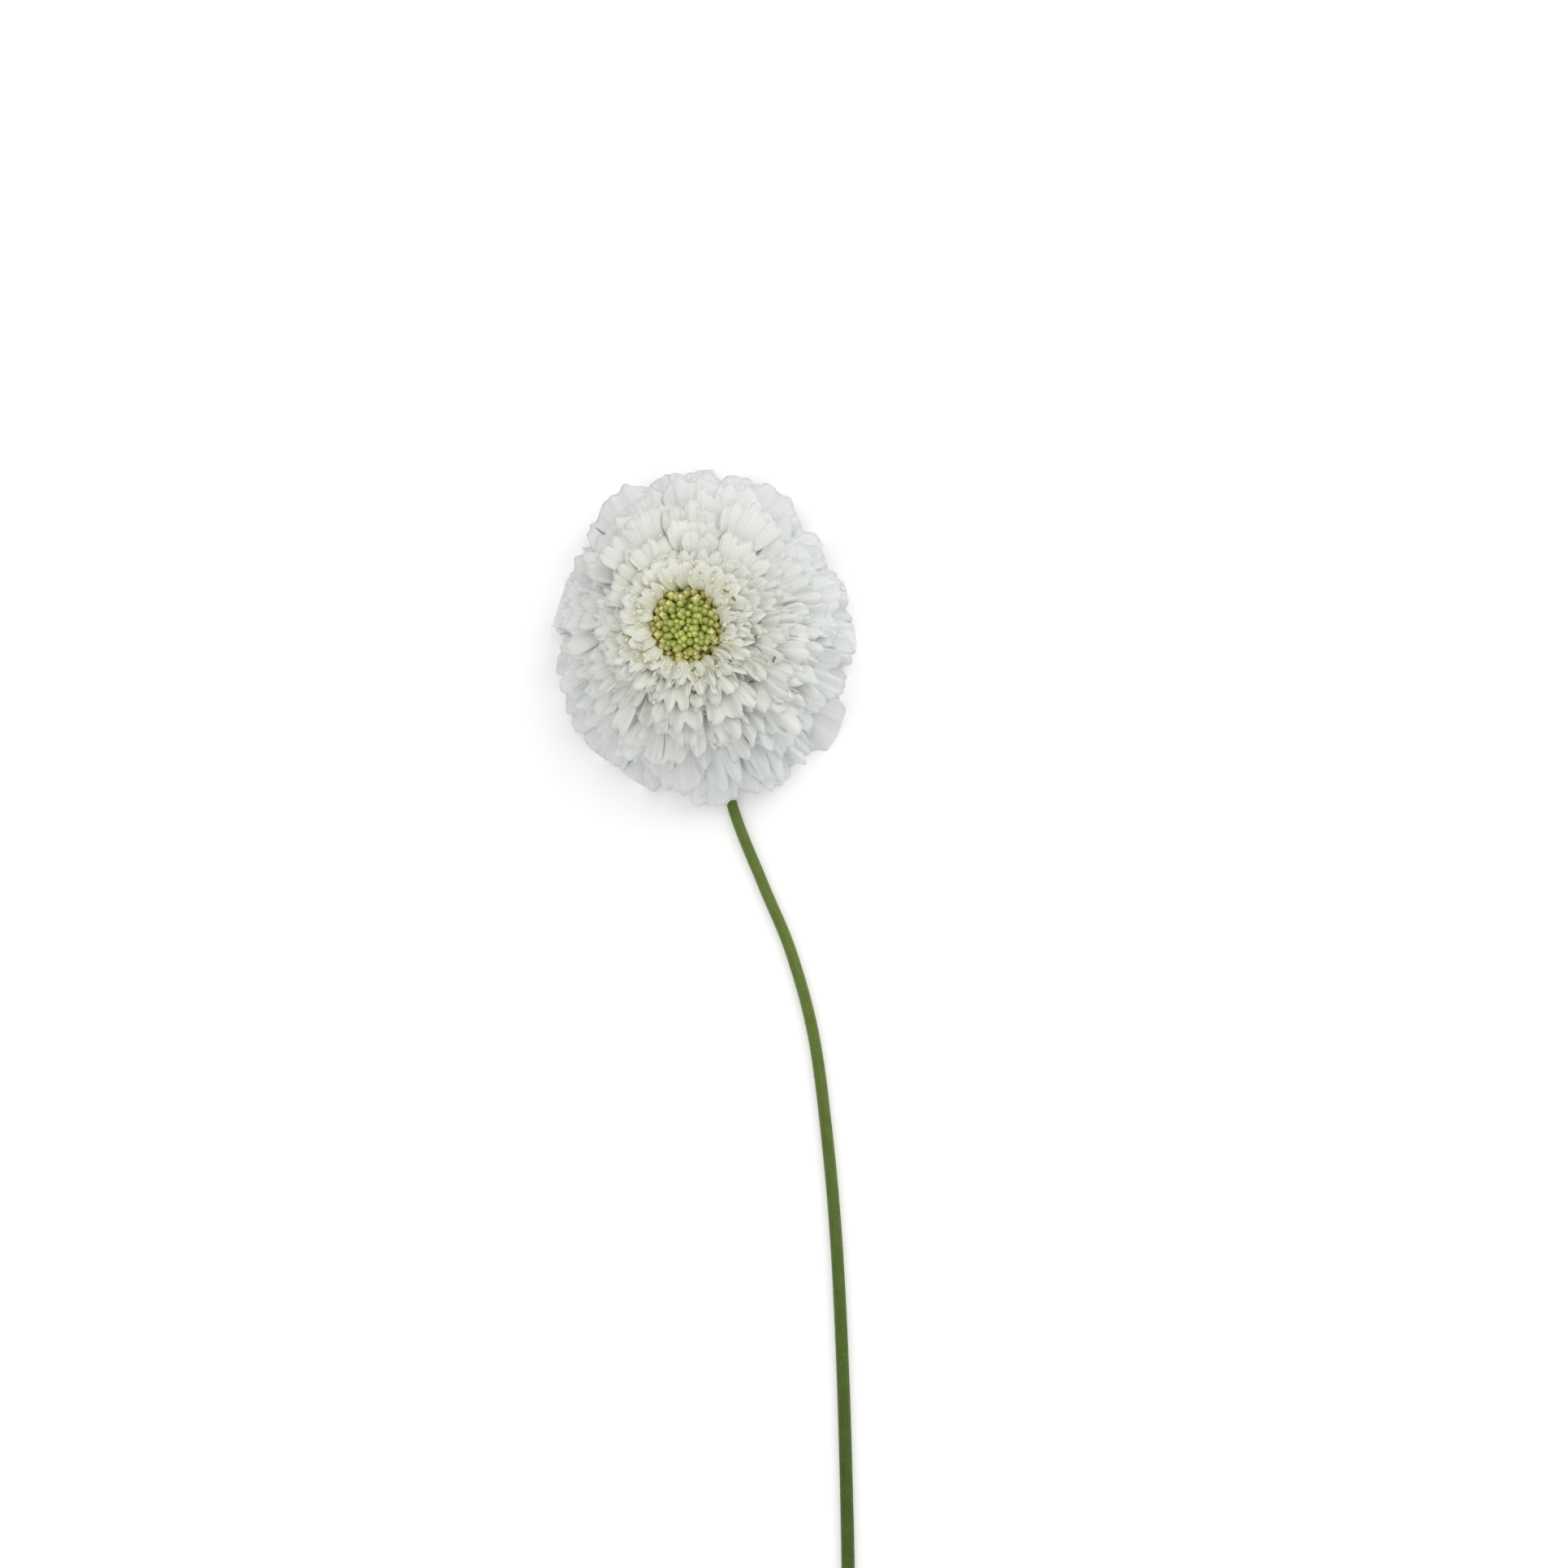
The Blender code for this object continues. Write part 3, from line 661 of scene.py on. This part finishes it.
def make_buds(rng):
    """The green cushion: a low dome covered by unopened buds in a golden-angle spiral.

    Bud k stands at radius c * sqrt(k + 1/2) and azimuth k times the golden angle. The outermost
    buds are larger, lean outwards and start to open.
    """
    # The buds grow paler towards their tips: partly the buds' own paler tips and partly a painted
    # highlight.
    closed = green_material("bud_skin", [
        (0.0, (0.26, 0.29, 0.05)),
        (0.5, (0.28, 0.33, 0.055)),
        (0.8, (0.34, 0.385, 0.08)),
        (1.0, (0.50, 0.53, 0.18)),
    ], (3.0, 2.0, 1.0), 0.1 * MM, 0.5)
    opening = green_material("bud_ochre", [
        (0.0, (0.30, 0.28, 0.07)),
        (0.5, (0.41, 0.38, 0.10)),
        (0.85, (0.50, 0.47, 0.16)),
        (1.0, (0.68, 0.66, 0.36)),
    ], (3.0, 2.0, 1.0), 0.08 * MM, 0.4)
    order = np.arange(BUDS)
    share = np.sqrt((order + 0.5) / BUDS)
    turn = order * GOLDEN_ANGLE + rng.uniform(-0.12, 0.12, BUDS)
    c, s = np.cos(turn), np.sin(turn)
    reach = BUDS_REACH * share + rng.uniform(-0.2, 0.2, BUDS) * MM
    height = CUSHION_TOP + (rng.uniform(-0.25, 0.25, BUDS) - 2.0 - 1.9 * share**2.4) * MM
    foot = np.stack([AXIS[0] + reach * c, AXIS[1] + reach * s, height], axis=-1)
    lean = 0.55 * share + 0.25 * (share > 0.85)
    way = np.stack([lean * c, lean * s, np.ones(BUDS)], axis=-1)
    way += rng.uniform(-0.16, 0.16, way.shape)
    scale = (rng.uniform(0.85, 1.12, BUDS) * (0.84 + 0.2 * share))[:, None]
    tone = rng.uniform(0.1, 1.0, BUDS)
    for name, chosen, finish, lobes, node in (
        ("buds", order < CLOSED_BUDS, closed, (5, 0.1), "bud_cushion"),
        ("opening_buds", order >= CLOSED_BUDS, opening, (4, 0.2), None),
    ):
        size = scale[chosen]
        round_bodies(
            name, foot[chosen], way[chosen], BUD_ALONG * size, BUD_RADIUS * size, 15,
            finish, lobes, tone[chosen], node,
        )
    dome = green_material("cushion_green", [
        (0.0, (0.42, 0.40, 0.16)),
        (1.0, (0.30, 0.33, 0.07)),
    ], (6.0, 6.0, 1.0), 0.1 * MM)
    base = np.array([[*AXIS, CUSHION_FOOT]])
    round_bodies("cushion_dome", base, UPWARDS, DOME_ALONG, DOME_RADIUS, 40, dome)


BRACTS = 9
BRACT_LENGTH = 13.5 * MM
BRACT_HALF_WIDTH = 1.5 * MM
BRACT_THICKNESS = 0.4 * MM
# A bract's breadth at these shares of its length.
BRACT_SHARES = (0, 0.2, 0.45, 0.75, 0.93, 1)
BRACT_BREADTH = (0.55, 0.8, 1, 0.6, 0.25, 0.08)
RECEPTACLE_GAP = 0.3 * MM
RECEPTACLE_ALONG = np.array((-0.7, -0.7, -0.3, 0.3, 1.1, 1.9, 3.0, 8, 12.8, 12.9)) * MM
RECEPTACLE_RADIUS = np.array((0, 1.5, 1.8, 2.4, 3.8, 4.6, 4.2, 3.6, 2.6, 0)) * MM


def make_bracts_and_receptacle(rng):
    """The green receptacle under the head and its whorl of lance-shaped bracts.

    With t along a bract and v across it, it goes outward as t less about an eighth of its square,
    down as t to the power 1.6, and up at its sides, and it ripples with t.
    """
    finish = green_material("bract_skin", [
        (0.0, (0.16, 0.24, 0.05)),
        (0.5, (0.10, 0.18, 0.03)),
        (1.0, (0.12, 0.17, 0.03)),
    ], (14.0, 1.5, 1.0), 0.2 * MM)
    foot = STEM_TOP + RECEPTACLE_GAP
    turned = np.arange(BRACTS) + rng.uniform(-0.12, 0.12, BRACTS)
    azimuth = (FULL_TURN * turned / BRACTS)[:, None, None]
    length = (BRACT_LENGTH * (1 + rng.uniform(-0.12, 0.12, BRACTS)))[:, None, None]
    t = np.linspace(0, 1, 15)[None, :, None]
    v = np.linspace(-1, 1, 7)[None, None, :]
    breadth = np.interp(t, BRACT_SHARES, BRACT_BREADTH)
    across = BRACT_HALF_WIDTH * breadth * v + 0 * length
    radius = 3.1 * MM + length * t * (1 - 0.12 * t) + 0 * v
    ripple = 0.25 * MM * np.sin(7 * t + 9 * azimuth)
    height = foot + 1.1 * MM - 0.34 * length * t**1.6 + 0.22 * np.abs(across) + ripple
    sheets = rounded(radius, across, height, azimuth)
    uv = np.stack(np.broadcast_arrays((v + 1) / 2, t + 0 * azimuth), axis=-1)
    thickness = np.full(sheets.shape[:3], BRACT_THICKNESS)
    numbers = {"tone": rng.uniform(0.2, 0.8, BRACTS)}
    blades("bracts", sheets, thickness, uv, numbers, finish, "involucre")
    base = np.array([[*AXIS, foot]])
    round_bodies(
        "receptacle", base, UPWARDS, RECEPTACLE_ALONG, RECEPTACLE_RADIUS, 48,
        finish, lobes=(12, 0.03),
    )


ROUTE_POINTS = 150
NECK_POINTS = 12
NECK_TURN = 76
NECK_BEND = 10.6 * MM
NECK_RADIUS = 1.0 * MM
CUT_RADIUS = 1.45 * MM
STEM_SIDES = 48
STEM_RIBS = 8
RIB_DEPTH = 0.035
STEM_GAP = 0.02 * MM
# The rings that close the cut end: their share of its radius, and how far in they lie, in mm.
PITH_RINGS = np.array([(0.9, -0.05), (0.55, 0.1), (0.5, 0.35)])
# Where the stalk's own skin ends and the cut face starts, as a share of the length.
SKIN_END = 0.995
HAIRS = 1400


def smooth_route(points, count):
    """Points spaced evenly along a Catmull-Rom curve through the route's own points."""
    p = np.array([2 * points[0] - points[1], *points, 2 * points[-1] - points[-2]])
    t = np.linspace(0, 1, 24, endpoint=False)[:, None]
    runs = []
    for a, b, c, d in zip(p, p[1:], p[2:], p[3:]):
        curve = (2 * a - 5 * b + 4 * c - d) * t**2 + (3 * b - a - 3 * c + d) * t**3
        runs.append((2 * b + (c - a) * t + curve) / 2)
    fine = np.vstack([*runs, p[-2]])
    gone = run_length(fine)
    even = np.linspace(0, gone[-1], count)
    return np.stack([np.interp(even, gone, column) for column in fine.T], axis=1), even / gone[-1]


def stem_line():
    """The stalk's middle line, its radius there, and the way that it leaves the head."""
    route, share = smooth_route(STEM_ROUTE, ROUTE_POINTS)
    heading = unit(route[0])
    turn = np.radians(np.linspace(0, NECK_TURN, NECK_POINTS))
    out = NECK_BEND * (1 - np.cos(turn))
    height = STEM_TOP - (STEM_TOP - NECK_RADIUS) * np.sin(turn)
    neck = np.column_stack([heading[0] * out, heading[1] * out, height])
    thick = np.interp(share, (0, 0.1, 1), (NECK_RADIUS, 1.08 * NECK_RADIUS, CUT_RADIUS))
    flare = np.interp(np.arange(NECK_POINTS), (0, 3, 6), (1.35, 1.08, 1.0)) * NECK_RADIUS
    line = np.vstack([neck, np.column_stack([route, thick])])
    line[:, :2] += AXIS
    return line, np.concatenate([flare, thick]), heading


def make_stem(rng):
    """The stalk: a ribbed ring carried along the line that drops from the head to the floor.

    Point = line(t) + radius(t) * (1 - depth * (1 - cos(ribs * turn))) * (side * cos(turn) +
    other * sin(turn)). At the cut end the rings close in on a shallow, paler pith.
    """
    # The stalk's colour darkens from the green near the head to a darker green by half its length,
    # and stays dark to the cut: painted shade. The pith at the cut end is its own paler colour.
    green, dark, pith = (0.115, 0.17, 0.025), (0.055, 0.097, 0.009), (0.42, 0.48, 0.24)
    finish = green_material("stem_skin", [
        (0.0, green),
        (0.22, green),
        (0.5, dark),
        (0.996, dark),
        (0.999, pith),
        (1.0, pith),
    ], (8.0, 60.0, 1.0), 0.12 * MM)
    line, radius, heading = stem_line()
    tangent = unit(np.gradient(line, axis=0))
    gone = run_length(line)
    narrower, inwards = PITH_RINGS.T
    line = np.vstack([line, line[-1] - inwards[:, None] * MM * tangent[-1]])
    radius = np.concatenate([radius, radius[-1] * narrower])
    tangent = np.vstack([tangent, np.repeat(tangent[-1:], len(PITH_RINGS), axis=0)])
    share = np.concatenate([gone / gone[-1] * SKIN_END, np.ones(len(PITH_RINGS))])
    turn = np.linspace(0, FULL_TURN, STEM_SIDES, endpoint=False)
    side = np.cross(tangent, np.array([heading[1], -heading[0], 0.0]))
    ring = ring_directions(tangent, side, turn)
    rib = 1 - RIB_DEPTH * (1 - np.cos(STEM_RIBS * turn))
    rings = line[:, None] + radius[:, None, None] * rib[:, None] * ring
    rings[..., 2] = np.maximum(rings[..., 2], STEM_GAP)
    points = np.vstack([rings.reshape(-1, 3), line[:1], line[-1:]])
    new_piece(
        "stalk", points, tube_faces(len(line), STEM_SIDES), tube_uv(turn, share),
        {"tone": np.full(len(points), MIDDLE_TONE)}, finish, "stem",
    )
    hairy = slice(2, -2 - len(PITH_RINGS))
    make_hairs(rings[hairy], ring[hairy], tangent[hairy], rng)


def make_hairs(skin, outward, tangent, rng):
    """Short hairs on the stalk's top and sides: three-sided spikes that lean to the cut end."""
    finish = green_material("hair_pale", [
        (0.0, (0.30, 0.38, 0.16)),
        (1.0, (0.62, 0.66, 0.48)),
    ], (1.0, 1.0, 1.0), 0.02 * MM)
    row = rng.integers(0, skin.shape[0] - 1, HAIRS)
    column = rng.integers(0, skin.shape[1], HAIRS)
    onward = rng.uniform(0, 1, (HAIRS, 1))
    foot = skin[row, column] * (1 - onward) + skin[row + 1, column] * onward
    way = outward[row, column] + 0.5 * tangent[row] + rng.uniform(-0.3, 0.3, foot.shape)
    clear = outward[row, column, 2] > -0.1
    foot, way = foot[clear], way[clear]
    length = rng.uniform(0.25, 0.6, (len(foot), 1)) * MM
    along = np.array((-0.2, 0.0, 0.6, 1.0)) * length
    radius = np.array((0, 0.03, 0.018, 0)) * MM
    round_bodies("stem_hairs", foot, way, along, radius, 3, finish)


# The photograph's frame: the bloom's outline is centred at this pixel of 1932 each way, and a pixel
# is this wide at the bloom.
FRAME_PIXELS = 1932
BLOOM_PIXEL = np.array((862, 787))
PIXEL = 0.157 * MM
LENS = 85.0
SENSOR = 36.0
BLOOM_HEIGHT = 9 * MM
# The camera leans from straight above towards the stem's side: how far, and towards which azimuth.
TILT = math.radians(8.2)
TILT_TOWARDS = math.radians(-40)
# The lamps: their place from the head's axis and their width, in metres, and power in watts.
LAMPS = (
    ("key", (0.6, 0.55, 0.9), 1.1, 4.2),
    ("fill", (-0.3, -0.7, 0.8), 0.9, 0.8),
)
LAMP_COLOUR = (1.0, 0.995, 0.98)
FLOOR_REACH = 4.0


def look_along(direction):
    """The turn that points an object's -Z along the direction, with its +Y as near +Y as can be."""
    back = -Vector(direction).normalized()
    right = Vector((0, 1, 0)).cross(back).normalized()
    up = back.cross(right)
    return Matrix((right, up, back)).transposed().to_euler()


def add_camera():
    """The camera, set back so far that the bloom has the photograph's place and size."""
    camera = bpy.data.cameras.new("camera")
    camera.lens = LENS
    camera.sensor_width = SENSOR
    camera.clip_start = 0.01
    obj = bpy.data.objects.new("camera", camera)
    bpy.context.scene.collection.objects.link(obj)
    lean = math.sin(TILT)
    back = (lean * math.cos(TILT_TOWARDS), lean * math.sin(TILT_TOWARDS), math.cos(TILT))
    obj.rotation_euler = look_along(-np.array(back))
    turned = np.array(obj.rotation_euler.to_matrix())
    distance = PIXEL * FRAME_PIXELS * LENS / SENSOR
    right, down = (BLOOM_PIXEL - FRAME_PIXELS / 2) * PIXEL
    obj.location = np.array([*AXIS, BLOOM_HEIGHT]) - turned @ np.array([right, -down, -distance])
    bpy.context.scene.camera = obj


def add_lamp(name, offset, width, power):
    light = bpy.data.lights.new(name, "AREA")
    light.shape = "DISK"
    light.size = width
    light.energy = power
    light.color = LAMP_COLOUR
    lamp = bpy.data.objects.new(name, light)
    bpy.context.scene.collection.objects.link(lamp)
    lamp.location = np.array([*AXIS, 0.0]) + offset
    lamp.rotation_euler = look_along(-np.array(offset))


def add_studio():
    """A pale floor that glows faintly, two soft lamps and an even white surround."""
    mesh = bpy.data.meshes.new("floor")
    x = y = FLOOR_REACH
    mesh.from_pydata([(-x, -y, 0), (x, -y, 0), (x, y, 0), (-x, y, 0)], [], [(0, 1, 2, 3)])
    floor = bpy.data.objects.new("floor", mesh)
    bpy.context.scene.collection.objects.link(floor)
    made, _, shader = material("floor_white", 0.9)
    set_inputs(shader, {
        "Base Color": (0.95, 0.95, 0.95, 1),
        "Emission Color": (1.0, 1.0, 1.0, 1),
        "Emission Strength": 0.18,
    })
    mesh.materials.append(made)
    world = bpy.data.worlds.new("surround")
    world.use_nodes = True
    background = world.node_tree.nodes["Background"]
    set_inputs(background, {"Color": (1.0, 1.0, 0.99, 1), "Strength": 0.79})
    bpy.context.scene.world = world
    for lamp in LAMPS:
        add_lamp(*lamp)
    bpy.context.scene.view_settings.view_transform = "Standard"


def main():
    rng = np.random.default_rng(SEED)
    add_camera()
    add_studio()
    make_stem(rng)
    make_bracts_and_receptacle(rng)
    make_pins(*make_florets(rng), rng)
    make_buds(rng)


main()
